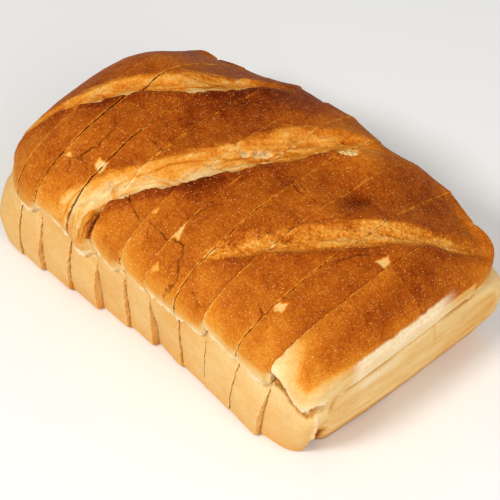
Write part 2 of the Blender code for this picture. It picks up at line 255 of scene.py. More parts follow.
# Open bubbles with tan skins in the second slash: place, reaches along it and across, depth
BUBBLES = mm([
    (10.7, 4.9, 4.6, 2.1, 1.4),
    (6, 0, 2.6, 1.3, 0.9),
    (33, 29, 4.8, 2.2, 1.4),
    (26.2, 21.5, 3, 1.3, 0.9),
])

# Dimple of the dome: place, reaches along the slashes and across them, depth
DIMPLE = (0.0502, 0.0185, 0.0085, 0.0036, 0.0015)

# Raggedness of the rim
RIM_DROP = 0.0021

# Pieces whose lip stops short of the next cut: where along the piece, and how deep
LIP_STOPS = {1: (0.68, 0.0026), 3: (0.62, 0.003), 4: (0.72, 0.0026), 7: (0.86, 0.0012), 9: (0.84, 0.002)}

# Lower part of the far heel's hidden lip: height and reach, places lengthways, depth
SUNK_LIP = (0.0535, 0.004, -0.074, -0.066, 0.0013)

# Split under the lip of the near heel: places along it, reach under the rim, softness and depth
SPLIT_U = [0.0, 0.4, 0.7, 0.88, 1.0]
SPLIT_BELOW = [0.042, 0.039, 0.0345, 0.037, 0.026]
SPLIT_SOFT = 0.0022
SPLIT_DEPTH = 0.0011

# End walls: foot of the near-white scar, seam, ledge of the far one, and groove in millimetres
SCAR_FOOT = (0.0415, 0.0425)
SEAM_Z = 0.0403
FAR_LEDGE = 0.0013
GROOVE = [(-41.8, 39.8), (-47.0, 33.2), (-53.9, 30.4)]

# Faint creases of the near end wall, sideways and upwards in millimetres
END_CREASES = [
    [(-32.0, 15.0), (-22.0, 17.5), (-8.0, 18.5), (4.0, 21.0)],
    [(2.0, 12.0), (16.0, 13.0), (34.0, 17.0), (46.0, 16.0)],
    [(14.0, 30.0), (26.0, 29.0), (44.0, 31.5)],
]

# Tone of the crust against its height over the rim in millimetres, and reach of its change
TONE_CLIMB = mm([-2, 1.2, 2.5, 4.5, 7, 10, 14, 20, 32])
TONE = [0.06, 0.08, 0.2, 0.37, 0.47, 0.55, 0.63, 0.69, 0.75]
TONE_X = mm([-90, -50, -30, 0, 45, 60, 72, 86, 99])
TONE_REACH = [0.8, 0.82, 0.94, 1.15, 1.45, 1.75, 2.25, 2.45, 2.5]
TONE_FROM = mm([5, 5, 5, 5.2, 6.4, 7.8, 9.2, 11.4, 11.6])
TONE_FADE = 0.0032
HIDDEN_CLIMB = 2.0
WALL_TONE = 0.32
BASE_TONE = WALL_TONE + 0.1
SPLIT_TONE = 0.46
HOLLOW_TONE = 0.26
BUBBLE_TONE = 0.24
END_TONE_Z = mm([50, 54, 57, 62])
END_TONE = [0.28, 0.48, 0.62, 0.68]

# Layers of unevenness of shape and tone: amount, size, octaves and seed
SKIN = [(0.0003, 0.015, 2, 11), (0.00011, 0.0048, 2, 12), (0.00004, 0.0012, 2, 13)]
WALL_SKIN = [(0.00026, 0.02, 2, 21), (0.00006, 0.005, 2, 22)]
SLASH_EDGE = [(0.2, 0.009, 2, 31), (0.13, 0.0028, 2, 41)]
FAR_EDGE = [(0.0012, 0.012, 2, 116), (0.0006, 0.0022, 2, 117)]
TONE_MOTTLE = [(0.05, 0.013, 2, 14), (0.02, 0.0035, 2, 15)]
WALL_MOTTLE = [(0.05, 0.02, 2, 28), (0.03, 0.003, 2, 37)]
FAR_MOTTLE = [(0.05, 0.012, 2, 115), (0.03, 0.003, 2, 118)]

# Fold of crust across the foot of the second slash: corners in millimetres, height, tone and shade
FOLD_STRIP = [(-28.9, 44.5), (-26.6, 52.9), (-25.9, 57.5), (-23.5, 61.0), (-20.4, 64.0), (-18.8, 62.8),
              (-19.8, 60.4), (-21.3, 56.0), (-22.7, 49.0), (-24.0, 44.5)]
STRIP_UP = 0.0009
STRIP_TONE = 0.6
STRIP_SHADE = [(-18.6, 63.0), (-19.6, 60.2), (-21.0, 56.0), (-22.4, 49.0), (-23.6, 44.5)]

# Darker and paler parts of the dome, real tone and painted shade, such as in the dimple and beside the
# slashes: place and reach in millimetres, and amount
TONE_SPOTS = [
    (-8, 38, 16, 22, 0.12),
    (29, -4, 7, 6, 0.1),
    (51.2, 16, 4.5, 9.5, 0.15),
    (8, -29, 7, 5, 0.1),
    (-52, -20, 8, 5, 0.08),
    (-21, 8, 6, 14, 0.06),
    (-75, 35, 16, 20, 0.1),
    (32, 38, 11, 11, -0.12),
    (62, 42, 10, 12, 0.08),
    (79, -18, 9, 14, 0.05),
    (-19.7, -4.8, 11, 12, 0.09),
    (-17.5, 17.5, 11, 13, 0.1),
    (92.4, -10.8, 7, 20, 0.09),
    (16.9, -21.4, 8, 5, 0.06),
]

# Colours of the crust from pale to dark, of torn and cut parts, of the painted shade in deep parts, and
# of its specks
TONE_COLOURS = [
    (0.0, (251, 230, 188)),
    (0.16, (240, 207, 145)),
    (0.32, (228, 182, 112)),
    (0.48, (222, 149, 54)),
    (0.62, (202, 116, 28)),
    (0.74, (171, 84, 15)),
    (0.87, (127, 49, 6)),
    (1.0, (80, 22, 0)),
]
PALE_COLOURS = [(0.3, (238, 208, 160)), (0.65, (249, 228, 190))]
CRUMB_COLOURS = [(0.3, (222, 178, 112)), (0.6, (240, 208, 150))]
SHADE_COLOUR = (72, 28, 6)
SPECK_COLOUR = (244, 196, 120)

# Pale specks of the crust: fineness, size, share and strength, and how softly they end
SPECKS = [(1100.0, 0.26, 0.4, 0.45), (620.0, 0.19, 0.4, 0.44), (300.0, 0.1, 0.35, 0.58)]
SPECK_SOFT = 0.4

# Fineness of the mottling, and how far each kind sways the tone
MOTTLE_SCALE, FINE_SCALE, TINY_SCALE = 230.0, 900.0, 2600.0
MOTTLE_SWAY, FINE_SWAY, TINY_SWAY, GRAIN_SWAY = 0.14, 0.24, 0.32, 0.55
SMOOTH_SWAY = 0.3
# Share of the colour that the painted shade darkens at most
SHADE_SHARE = 0.92

# Roughness of the crust, its change with tone, grain and mottling, its sheen and its fine bumps
ROUGHNESS, ROUGH_TONE, ROUGH_GRAIN, ROUGH_SWAY = 0.72, -0.26, 0.15, 0.16
SHEEN = 0.03
BUMP_STRENGTH = 0.75
BUMP_DISTANCE = 0.00022
SHARP_ANGLE = 62.0

# Values that each point carries to the colours, among them the painted shade of cracks, gaps and hollows
LOOKS = ("tone", "painted_shade", "pale", "grain", "crumb", "smooth")

# How finely the pieces are drawn, in metres, and the rounds of their ends
GRID_AT = [0.0, 0.18, 0.22, 0.44, 0.452, 0.5, 0.56, 1.0]
GRID_STEP = [0.003, 0.0014, 0.0007, 0.0006, 0.0003, 0.00034, 0.00046, 0.00046]
STATION_STEP = 0.00046
STATION_AT = 0.985
BESIDE_CUT = [0.0001, 0.00024]
CUT_EDGE = 0.00035
HEEL_SPAN = 0.019
CUT_ROUNDS = np.array([0.997, 0.965, 0.935, 0.88, 0.7])
CUT_CRUMB = np.array([0.0, 0.0, 0.6, 1.0, 1.0])
WALL_ROUNDS = 46
WALL_BLEND = 0.05
WALL_MIDDLE = 0.45
FLOOR_Z = 0.0

# Camera and lamps: name, place, size, power and tint
AIM = Vector((0.0126, -0.0069, 0.0352))
CAMERA_TURN = 45.36
CAMERA_RISE = 43.54
CAMERA_DISTANCE = 0.8486
CAMERA_LENS = 154.9
WORLD_LIGHT = 0.44
LAMPS = [
    ("key", (0.1, -0.9, 1.0), 0.3, 10.1, (1.0, 0.98, 0.95)),
    ("fill", (0.95, -0.35, 0.75), 0.8, 5.6, (1.0, 0.98, 0.96)),
]


# Value held between 0 and 1
def limit(value):
    return np.clip(value, 0.0, 1.0)


# Smooth step from 0 to 1 between two values
def ease(value, low, high):
    t = limit((value - low) / (high - low))
    return t * t * (3.0 - 2.0 * t)


# Smooth step from 1 to 0 between two values
def fade(value, low, high):
    return 1.0 - ease(value, low, high)


# Rises from 0 to 1 between two values and falls back between two others
def between(value, low, high, fall, end):
    return ease(value, low, high) * fade(value, fall, end)


# Bell of height 1 round a value
def bell(value, middle, width, power=2):
    return np.exp(-((value - middle) / width) ** power)


# Mound of height 1 round a place
def mound(x, y, px, py, rx, ry):
    return bell(x, px, rx) * bell(y, py, ry)


# Side of the loaf, -1 visible and 1 hidden, and the place round that half of the section
def halves(ring):
    return np.where(ring <= 1.0, -1.0, 1.0), np.where(ring <= 1.0, ring, 2.0 - ring)


# Value with another one laid over a share of it
def cover(value, share, over):
    return value * (1.0 - share) + share * over


# Slow unevenness of the wall and lip along the loaf
def sway(x, phase):
    return 0.6 * np.sin(x * 95.0 + phase) + 0.4 * np.sin(x * 213.0 + 2.3 * phase)


# Slashes, hollows and swellings of the dome at a point seen from above
def dome_relief(x, y):
    total = np.zeros(np.broadcast(x, y).shape)
    for slash in SLASHES:
        start, stop = slash["y"][0], slash["y"][-1]
        centre = np.interp(y, slash["y"], slash["x"])
        width = np.interp(y, slash["y"], slash["w"])
        across = (x - centre) / width
        inside = limit(1.0 - across * across)
        length = between(y, start - 0.004, start + 0.01, stop - 0.01, stop + 0.004)
        shoulder = bell(np.abs(across), 1.35, 0.45)
        total += slash["depth"] * length * (0.22 * shoulder - inside ** 1.2)
    for *spot, height in SWELLINGS:
        total += height * mound(x, y, *spot)
    return total


# Half a section from the middle of the base to the crown
def half_section(s, rim, rim_z, lip, lip_z, crown):
    foot = limit((s - FOOT_AT) / (WALL_AT - FOOT_AT)) * (math.pi / 2.0)
    wall = limit((s - WALL_AT) / (RIM_AT - WALL_AT))
    roll = limit((s - RIM_AT) / (LIP_AT - RIM_AT)) * (math.pi / 2.0)
    dome = limit((s - LIP_AT) / (1.0 - LIP_AT)) * (math.pi / 2.0)
    y = (BASE_HALF - FOOT_R) * limit(s / FOOT_AT)
    y += FOOT_R * np.sin(foot)
    y += (rim - BASE_HALF) * wall + WALL_BULGE * np.sin(math.pi * wall)
    y += (lip - rim) * np.sin(roll)
    z = FOOT_R * (1.0 - np.cos(foot)) + (rim_z - FOOT_R) * wall
    z += (lip_z - rim_z) * (1.0 - np.cos(roll))
    power = 2.0 / DOME_POWER
    y = np.where(s > LIP_AT, lip * limit(np.cos(dome)) ** power, y)
    z = np.where(s > LIP_AT, lip_z + (crown - lip_z) * np.sin(dome) ** power, z)
    return y, z


# How far the near end wall stands back: the fold beside its visible corner, and the bow
def end_fold(y, z):
    fold = FOLD_DEPTH * bell(y, FOLD_Y - 0.2 * z, FOLD_WIDTH) * fade(z, 0.002, FOLD_TOP)
    bow = BOW_DEPTH * np.clip((BOW_FROM - y) / BOW_LENGTH, 0.0, None) ** 2
    return fold + bow * fade(z, *BOW_TOP)


# How far out the end wall of a heel stands inside its outline
def end_wall(k, y, z):
    if k == 0:
        return np.interp(z, END_Z, FAR_X)
    return np.interp(z, END_Z, NEAR_X) - end_fold(y, z)


# Points of piece k: ring runs from the base, 0, over the crown, 1, to the base, 2, and u along it
def piece_points(k, ring, u):
    side, s = halves(ring)
    on_dome = s > LIP_AT
    start = FAR_X[0] if k == 0 else CUT_X[k - 1] + KNIFE_GAP / 2.0
    stop = NEAR_X[0] if k == LAST else CUT_X[k] - KNIFE_GAP / 2.0
    lean_a = 0.0 if k == 0 else CUT_LEAN[k - 1]
    lean_b = 0.0 if k == LAST else CUT_LEAN[k]

    # section of the station, before the ends are rounded
    level = start + (stop - start) * u
    crown = np.interp(level, CROWN_X, CROWN_Z) + PIECE_UP[k]
    places = np.linspace(0.0, 1.0, len(RIM_LINE[k]))
    turned = np.interp(1.0 - u, places, RIM_LINE[LAST - k]) - RIM_Z
    rim_z = np.where(side < 0.0, np.interp(u, places, RIM_LINE[k]), RIM_Z + BACK_SHARE * turned)
    lip_z = LIP_Z + LIP_FOLLOW * (rim_z - RIM_Z) + 0.5 * PIECE_UP[k]
    rim = RIM_HALF + 0.0006 * sway(level, 0.4 - side)
    lip = rim + LIP_OUT + 0.0005 * sway(level, 2.2 + side)
    y, z = half_section(s, rim, rim_z, lip, lip_z, crown)
    y += np.interp(level, CROWN_X, BACK_OUT) * ease(side * y, 0.04, 0.056)
    wall = limit((z - FOOT_R) / (rim_z - FOOT_R))
    lift = np.interp(level, CROWN_X, BACK_LIFT) * ease(side * y, 0.005, 0.045)
    z += lift * ease(s, LIP_AT, 0.7)

    # both faces of the piece, and the place between them
    held_z = np.where(on_dome, lip_z, z)
    above = limit((held_z - rim_z) / (lip_z - rim_z))
    end_z = RIM_Z * limit(held_z / rim_z) + (LIP_Z - RIM_Z) * above
    face_a = np.interp(end_z, END_Z, FAR_X) if k == 0 else start + lean_a * z
    face_b = np.interp(end_z, END_Z, NEAR_X) if k == LAST else stop + lean_b * z
    x = face_a + (face_b - face_a) * u
    level_z = z

    # fall of the dome and rounding of the corners towards the two ends
    rise = 1.0
    for way, fall, corners, tip in ((-1, FAR_FALL, FAR_CORNERS, FAR_X),
                                    (1, NEAR_FALL, NEAR_CORNERS, NEAR_X)):
        reach = np.clip(way * (np.interp(end_z, END_Z, tip) - x), 0.0, None)
        t = limit(1.0 - reach / fall)
        rise = rise * np.sqrt(limit(1.0 - t ** FALL_POWER))
        low_r, top_r, late = [np.where(side < 0.0, a, b) for a, b in zip(*corners)]
        radius = low_r + (top_r - low_r) * wall ** late
        inner = np.clip(radius - reach, 0.0, None)
        drawn = radius - np.sqrt(np.clip(radius ** 2 - inner ** 2, 0.0, None))
        y *= 1.0 - drawn / lip
    z = np.where(on_dome, lip_z + (z - lip_z) * rise, z)

    # knife cuts that stand open at the top of the visible side
    open_part = ease(z, 0.03, 0.062) * fade(side * y, -0.018, 0.022)
    x -= OPEN_GAP.get(k, 0.0) * open_part * u ** 3
    x += 0.3 * OPEN_GAP.get(k - 1, 0.0) * open_part * (1.0 - u) ** 3

    # each piece stands a little out of line, its foot spread towards the near end
    low = fade(z, 0.01, 0.04) * ease(s, 0.1, FOOT_AT)
    far_foot, near_foot = [np.where(side < 0.0, a, b) for a, b in zip(FOOT_OUT[k], BACK_FOOT[k])]
    y = side * (y + (far_foot + (near_foot - far_foot) * u) * low) + PIECE_OUT[k]

    # relief of the dome, and the cut faces kept flat under it
    weight = ease(s, 0.55, 0.72) * (0.25 + 0.75 * rise)
    z += weight * (dome_relief(x, y) + EDGE_STEP * (1.0 - u) ** 2)
    x += (lean_a + (lean_b - lean_a) * u) * (z - level_z)
    if k == LAST:
        x -= end_fold(y, z) * u ** 6
    return x, y, z, rim_z


# Number from 0 to 1 for each cell of a lattice
def cell_number(ix, iy, iz, seed):
    mask = 0xFFFFFFFF
    h = ((ix * 73856093) & mask) ^ ((iy * 19349663) & mask) ^ ((iz * 83492791) & mask)
    h = (h ^ ((seed * 2654435761) & mask)) & mask
    h = ((h ^ (h >> 15)) * 2246822519) & mask
    h = ((h ^ (h >> 13)) * 3266489917) & mask
    return ((h ^ (h >> 16)) & 0xFFFFFF) / float(0xFFFFFF)


# Smooth noise from -1 to 1 with cells of the given size
def noise(p, size, seed):
    q = p / size
    cell = np.floor(q).astype(np.int64)
    f = q - cell
    f = f * f * (3.0 - 2.0 * f)
    total = 0.0
    for dx, dy, dz in itertools.product((0, 1), repeat=3):
        wx = f[..., 0] if dx else 1.0 - f[..., 0]
        wy = f[..., 1] if dy else 1.0 - f[..., 1]
        wz = f[..., 2] if dz else 1.0 - f[..., 2]
        value = cell_number(cell[..., 0] + dx, cell[..., 1] + dy, cell[..., 2] + dz, seed)
        total += wx * wy * wz * value
    return 2.0 * total - 1.0


# Several sizes of noise added up
def rough(p, size, octaves, seed):
    total = 0.0
    share = 1.0
    for i in range(octaves):
        total += share * noise(p, size / 2.1 ** i, seed + 17 * i)
        share *= 0.5
    return total


# Layers of such noise added up
def layers(p, rows):
    return sum(amount * rough(p, size, octaves, seed) for amount, size, octaves, seed in rows)


# Distance to the nearest of scattered points, in cells
def pores(p, size, seed):
    q = p / size
    cell = np.floor(q).astype(np.int64)
    best = np.full(q.shape[:-1], 9.0)
    for step in itertools.product((-1, 0, 1), repeat=3):
        c = cell + np.array(step)
        gap = 0.0
        for axis in range(3):
            spot = c[..., axis] + cell_number(c[..., 0], c[..., 1], c[..., 2], seed + 101 * axis)
            gap += (q[..., axis] - spot) ** 2
        best = np.minimum(best, gap)
    return np.sqrt(best)


# Distance in metres to a line given in millimetres
def line_distance(a, b, line):
    best = np.full(a.shape, 1.0)
    for (a0, b0), (a1, b1) in zip(line, line[1:]):
        va, vb = (a1 - a0) / 1000.0, (b1 - b0) / 1000.0
        ra, rb = a - a0 / 1000.0, b - b0 / 1000.0
        t = limit((ra * va + rb * vb) / (va * va + vb * vb))
        best = np.minimum(best, np.hypot(ra - t * va, rb - t * vb))
    return best


# Depth inside a convex or nearly convex patch given in millimetres, negative outside
def patch_depth(a, b, corners):
    inside = np.zeros(a.shape, dtype=bool)
    am, bm = a * 1000.0, b * 1000.0
    for (a0, b0), (a1, b1) in zip(corners, corners[1:] + corners[:1]):
        crosses = (b0 > bm) != (b1 > bm)
        at = a0 + (bm - b0) * (a1 - a0) / (b1 - b0 if b1 != b0 else 1e-9)
        inside ^= crosses & (am < at)
    edge = line_distance(a, b, corners + corners[:1])
    return np.where(inside, edge, -edge)


# Distances along the slashes and across them
def slash_axes(x, y):
    along = SLASH_ALONG[0] * x + SLASH_ALONG[1] * y
    across = SLASH_ALONG[1] * x - SLASH_ALONG[0] * y
    return along, across


# Height and looks of the torn slashes of the dome
def torn_slashes(p, x, y):
    height, grainy, spread, tone, shade, shade_beyond_ledge = np.zeros((6,) + x.shape)
    edge = layers(p, SLASH_EDGE)
    along, across = slash_axes(x, y)
    stretched = np.stack([across, 0.22 * along, 0.2 * p[..., 2]], axis=-1)
    strands = rough(stretched, 0.002, 3, 61)
    folds = np.abs(noise(stretched, 0.004, 63))
    tongues = 0.4 * rough(stretched, 0.006, 2, 64)
    grains = rough(p, 0.0011, 2, 71)
    holes = ease(0.42 - pores(p, 0.0024, 81), 0.0, 0.3)
    for slash, look in zip(SLASHES, SLASH_LOOKS):
        start, stop = slash["y"][0], slash["y"][-1]
        centre = np.interp(y, slash["y"], slash["x"])
        width = np.interp(y, slash["y"], slash["w"])
        length = between(y, start - 0.004, start + 0.004, stop - 0.014, stop + 0.004)
        a = (x - centre) / width + edge
        opened = ease(a + tongues, look["from"], look["from"] + look["far_soft"]) * length
        opened *= fade(a, 1.0 - look["near_soft"], 1.0 + 0.3 * look["near_soft"])

        # overhanging near edge, crease and grain
        grain, stand, near, far, turn = [np.interp(y, look["y"], look[name]) for name in SLASH_PARTS]
        sharp = length * stand
        ear = ease(a, 0.92, 1.02) * np.exp(-np.clip((a - 1.02) / 0.35, 0.0, None) ** 2) * sharp
        tall = sharp * look["ledge"] / LEDGE
        crease = bell(a + 0.6 * edge, look["crease"], 0.07) * length
        height += look["ledge"] * ear - 0.0004 * crease * (1.0 - 0.6 * grain)
        height += opened * (0.0006 * strands + 0.0003 * grain * grains)
        height -= opened * holes * (0.0001 + 0.0004 * grain)

        # tone from the far part to the near part
        inside = far + (near - far) * ease(a, turn - 0.3, turn + 0.3)
        inside -= (0.16 - 0.08 * grain) * strands + 0.13 * grain * grains
        inside += 0.22 * (1.0 - grain) * ease(0.12 - folds, 0.0, 0.12)
        spread += opened
        tone += opened * inside
        grainy += opened * grain
        # painted shade under the near ledge, along the crease and in the holes, and on the crust beyond
        # the ledge
        cut = 0.75 * bell(a, 0.95, 0.07) * tall
        line = 0.3 * crease * (1.0 - 0.6 * grain)
        shade = np.max([shade, opened * holes * grain * 0.25, cut, line], axis=0)
        shade_beyond_ledge += 0.12 * between(a, 0.95, 1.0, 1.3, 2.1) * tall
    return height, grainy, spread, tone, shade, shade_beyond_ledge


# Cracks and chipped patches of the dome
def dome_marks(p, x, y):
    height, painted_shade, chips, chip_tone = np.zeros((4,) + x.shape)
    wander = 0.00055 * rough(p, 0.0022, 3, 91)
    breaks = np.clip(0.75 + 0.7 * rough(p, 0.003, 2, 92), 0.15, 1.1)
    for line, wide, deep, strength in CRACKS:
        wide, deep = mm((wide, deep))
        near = line_distance(x + wander, y - wander, line) / wide
        cut = np.exp(-near ** 2) * breaks
        height += 0.25 * deep * bell(near, 2.2, 0.9) * breaks - deep * cut
        # painted shade inside the crack
        painted_shade = np.maximum(painted_shade, strength * cut)
    for corners, deep, tone in CHIPS:
        inside = ease(patch_depth(x + wander, y - wander, corners), -0.0003, 0.0006)
        height -= mm(deep) * inside
        chips = np.maximum(chips, inside)
        chip_tone = np.maximum(chip_tone, inside * tone)
    return height, painted_shade, chips, chip_tone


# Open bubbles of the second slash: height, skin and shade
def bubbles(p, x, y):
    height, skin, shade = np.zeros((3,) + x.shape)
    wander = 0.0007 * rough(p, 0.0026, 2, 97)
    web = limit(np.abs(noise(p, 0.0016, 98)) * 3.0)
    for px, py, long_r, cross_r, deep in BUBBLES:
        along, across = slash_axes(x - px + wander, y - py - wander)
        away = np.hypot(along / long_r, across / cross_r)
        inside = fade(away, 0.7, 1.1)
        height += 0.25 * deep * bell(away, 1.25, 0.22) - deep * inside * (0.35 + 0.65 * web)
        skin = np.maximum(skin, inside)
        shade = np.maximum(shade, inside * ease(-across / cross_r, 0.1, 0.7) * web)
    return height, skin, shade


# Fold of crust across the foot of the second slash: height, share, tone and shade
def fold_strip(p, x, z):
    wander = 0.0004 * rough(p, 0.003, 2, 95)
    inside = ease(patch_depth(x + wander, z - wander, FOLD_STRIP), -0.0002, 0.0006)
    creases = rough(np.stack([x, 0.4 * z, 0.0 * z], axis=-1), 0.0016, 2, 96)
    shade = bell(line_distance(x + wander, z, STRIP_SHADE), 0.0, 0.0006)
    height = inside * (STRIP_UP + 0.00035 * creases) - 0.0007 * shade
    return height, inside, STRIP_TONE - 0.1 * creases, shade


# Dimple of the dome
def dimple(x, y):
    px, py, long_r, cross_r, deep = DIMPLE
    along, across = slash_axes(x - px, y - py)
    return deep * np.exp(-(along / long_r) ** 2 - (across / cross_r) ** 2)


# Near-white scar along the top of the near end wall
def scar_share(y, z):
    return between(y, -0.04, -0.031, 0.008, 0.022) * ease(z, *SCAR_FOOT)


# Near heel: height, split under its lip, flakes in it, pale parts of flap and scar, and painted shade in
# the notch beside the flap
def near_heel(ring, u, p, torn):
    x, y, z = np.moveaxis(p, -1, 0)
    side, s = halves(ring)
    bottom = RIM_AT - np.interp(u, SPLIT_U, SPLIT_BELOW) + 0.004 * rough(p, 0.0024, 3, 34)
    split = between(s, bottom - SPLIT_SOFT, bottom + SPLIT_SOFT, RIM_AT + 0.002, RIM_AT + 0.01)
    split *= (side < 0.0) * (1.0 - 0.55 * ease(u, 0.9, 0.99))
    flakes = split * ease(rough(p, 0.0019, 3, 44), 0.05, 0.3) * ease(u, 0.6, 0.85)
    ridge = bell(u, 0.935, 0.02) * ease(z, 0.01, 0.02) * (s < RIM_AT - 0.01) * (side < 0.0)
    height = ridge * (0.0008 + 0.001 * rough(p, 0.003, 2, 27)) - SPLIT_DEPTH * split
    pale = ridge * (1.0 - split) * (0.45 + 0.45 * rough(p, 0.0022, 2, 39))
    scar = scar_share(y, z) * ease(x, 0.0905, 0.095)
    scar *= fade(z + 0.0005 * torn, 0.0525, 0.054)
    # painted shade in the corner between the flap and the end wall
    notch_shade = 0.8 * ease(u, 0.955, 0.985) * fade(z, 0.008, 0.016) * (side < 0.0)
    return height, split, flakes, np.maximum(pale, scar), notch_shade


# Tone of the whole crust, from pale at the rim to brown at the top
def crust_tone(side, p, over_rim, torn, dome, high, shade_beyond_ledge):
    x, y, z = np.moveaxis(p, -1, 0)
    reach = (np.interp(x, TONE_X, TONE_REACH) - 1.0) * ease(-y, 0.034, 0.046)
    begin = np.interp(x, TONE_X, TONE_FROM)
    reach = 1.0 + reach * (1.0 - 0.9 * ease(over_rim - begin, 0.0, TONE_FADE))
    climb = over_rim / reach * np.where(side < 0.0, 1.0, HIDDEN_CLIMB)
    tone = np.interp(climb, TONE_CLIMB, TONE) + dome * layers(p, TONE_MOTTLE)
    # darker and paler spots of the crust, some of them painted shade in the dimple and beside the
    # slashes
    for *spot, amount in TONE_SPOTS:
        tone += high * amount * mound(x, y, *mm(spot))
    # painted shade on the crust beyond the near edges of the slashes
    tone += high * shade_beyond_ledge
    near_tone = np.interp(z + 0.0005 * torn, END_TONE_Z, END_TONE)
    return np.maximum(tone, near_tone * ease(x, 0.06, 0.08) * ease(y, -0.046, -0.028))


# Tone of the smooth wall
def wall_tone(p):
    x, z = p[..., 0], p[..., 2]
    tone = WALL_TONE + layers(p, WALL_MOTTLE) + 0.06 * fade(z, 0.0, 0.012)
    return tone - 0.1 * ease(z, 0.02, 0.038) * ease(x, 0.02, 0.08)


# Share of the crumbly edge beside the cuts of piece k
def cut_edge(k, u):
    span = CUT_X[k] - CUT_X[k - 1] if 0 < k < LAST else HEEL_SPAN
    from_cut = np.full(u.shape, 1.0)
    if k > 0:
        from_cut = np.minimum(from_cut, u * span)
    if k < LAST:
        from_cut = np.minimum(from_cut, (1.0 - u) * span)
    return bell(from_cut, 0.0, CUT_EDGE)


# Fine shape and looks of the crust at points of the section grid
def crust_detail(k, ring, u, p, rim_z):
    x, y, z = np.moveaxis(p, -1, 0)
    side, s = halves(ring)
    seen = side < 0.0
    dome = ease(s, RIM_AT + 0.01, LIP_AT + 0.03)
    high = ease(s, LIP_AT - 0.045, LIP_AT + 0.01)
    front = high * seen
    over_rim = z - rim_z

    # unevenness of the crust and of the smooth wall
    dents = ease(0.22 - pores(p, 0.006, 23), 0.0, 0.15)
    height = dome * layers(p, SKIN) + (1.0 - dome) * (layers(p, WALL_SKIN) - 0.00018 * dents)

    # torn slashes, cracks, chips, bubbles, dimple and fold belong to the dome
    slash_h, grain, spread, slash_tone, shade, shade_beyond_ledge = torn_slashes(p, x, y)
    mark_h, painted_shade, chips, chip_tone = dome_marks(p, x, y)
    bubble_h, bubble, bubble_shade = bubbles(p, x, y)
    strip_h, strip, strip_tone, strip_shade = fold_strip(p, x, z)
    height += high * (slash_h + mark_h + bubble_h - dimple(x, y)) + front * strip_h
    painted_shade = high * np.max([painted_shade, shade, 0.6 * bubble_shade, 0.85 * strip_shade * seen], axis=0)

    # hollow under the lip, and the ragged rim itself
    under = bell(s, RIM_AT - 0.008, 0.008)
    frill = bell(s, RIM_AT + 0.022, 0.02)
    torn = rough(np.stack([x, y, 0.3 * z], axis=-1), 0.0022, 3, 26)
    height -= (0.0005 + 0.0004 * rough(p, 0.009, 2, 24)) * under
    height += 0.00042 * frill * rough(p, 0.002, 3, 25)
    drop = RIM_DROP * frill * torn

    # lips that stop short of the next cut, and the hidden lip of the far heel
    start, deep = LIP_STOPS.get(k, (2.0, 0.0))
    hollow = ease(u, start, start + 0.07) * ease(over_rim, -0.003, 0.0008)
    hollow *= fade(z, 0.0465, 0.051) * seen
    height -= deep * hollow
    if k == 0:
        height -= SUNK_LIP[4] * bell(z, *SUNK_LIP[:2]) * ease(x, *SUNK_LIP[2:4]) * (side > 0.0)
    split, flakes, pale, notch_shade = np.zeros((4,) + x.shape)
    if k == LAST:
        heel_h, split, flakes, pale, notch_shade = near_heel(ring, u, p, torn)
        height += heel_h + 0.0006 * flakes

    # tone of the crust, then of what is torn, folded or chipped, of the wall and of the base
    tone = crust_tone(side, p, over_rim, torn, dome, high, shade_beyond_ledge)
    spread = limit(high * spread)
    tone = tone * (1.0 - spread) + high * slash_tone
    tone = cover(tone, front * strip, strip_tone)
    tone = tone * (1.0 - high * chips) + high * chip_tone
    tone = cover(tone, high * bubble, BUBBLE_TONE)
    on_wall = fade(over_rim, -0.0016, -0.0004)
    tone = cover(tone, on_wall, wall_tone(p))
    tone = np.where(s < FOOT_AT, BASE_TONE, tone)
    tone = cover(tone, split, SPLIT_TONE)
    tone = cover(tone, 0.75 * hollow, HOLLOW_TONE)

    # painted shade in the split, in the notch and under the lip, and pale parts of the rim
    split_shade = split * (0.74 - 0.46 * u) * (0.8 + 0.7 * rough(p, 0.0014, 2, 38))
    under_lip_shade = 0.3 * under * (0.5 + 0.5 * rough(p, 0.01, 1, 29))
    painted_shade = np.max([painted_shade, split_shade, notch_shade, under_lip_shade], axis=0) * (1.0 - 0.8 * flakes)
    level = over_rim + 0.001 * rough(p, 0.0024, 2, 35)
    bright = fade(level, 0.0024, 0.0046) * ease(over_rim, -0.0008, 0.0004)
    pale = np.max([pale, 0.8 * bright * seen * (1.0 - hollow), 0.75 * flakes], axis=0)

    # crumbly edges of the cuts, paler partly as crumb and partly as a painted highlight on the raised
    # edge
    rim = cut_edge(k, u)
    height -= 0.00022 * rim * (1.0 + rough(p, 0.001, 2, 30))
    tone -= 0.14 * rim * high * (1.0 + 1.2 * rough(p, 0.0016, 2, 36))
    jitter = 0.0003 * rim * rough(p, 0.0016, 2, 33)
    looks = dict(zip(LOOKS, (tone, painted_shade, pale, grain * high, 0.1 * hollow, 1.0 - dome)))
    return height, jitter, drop, looks


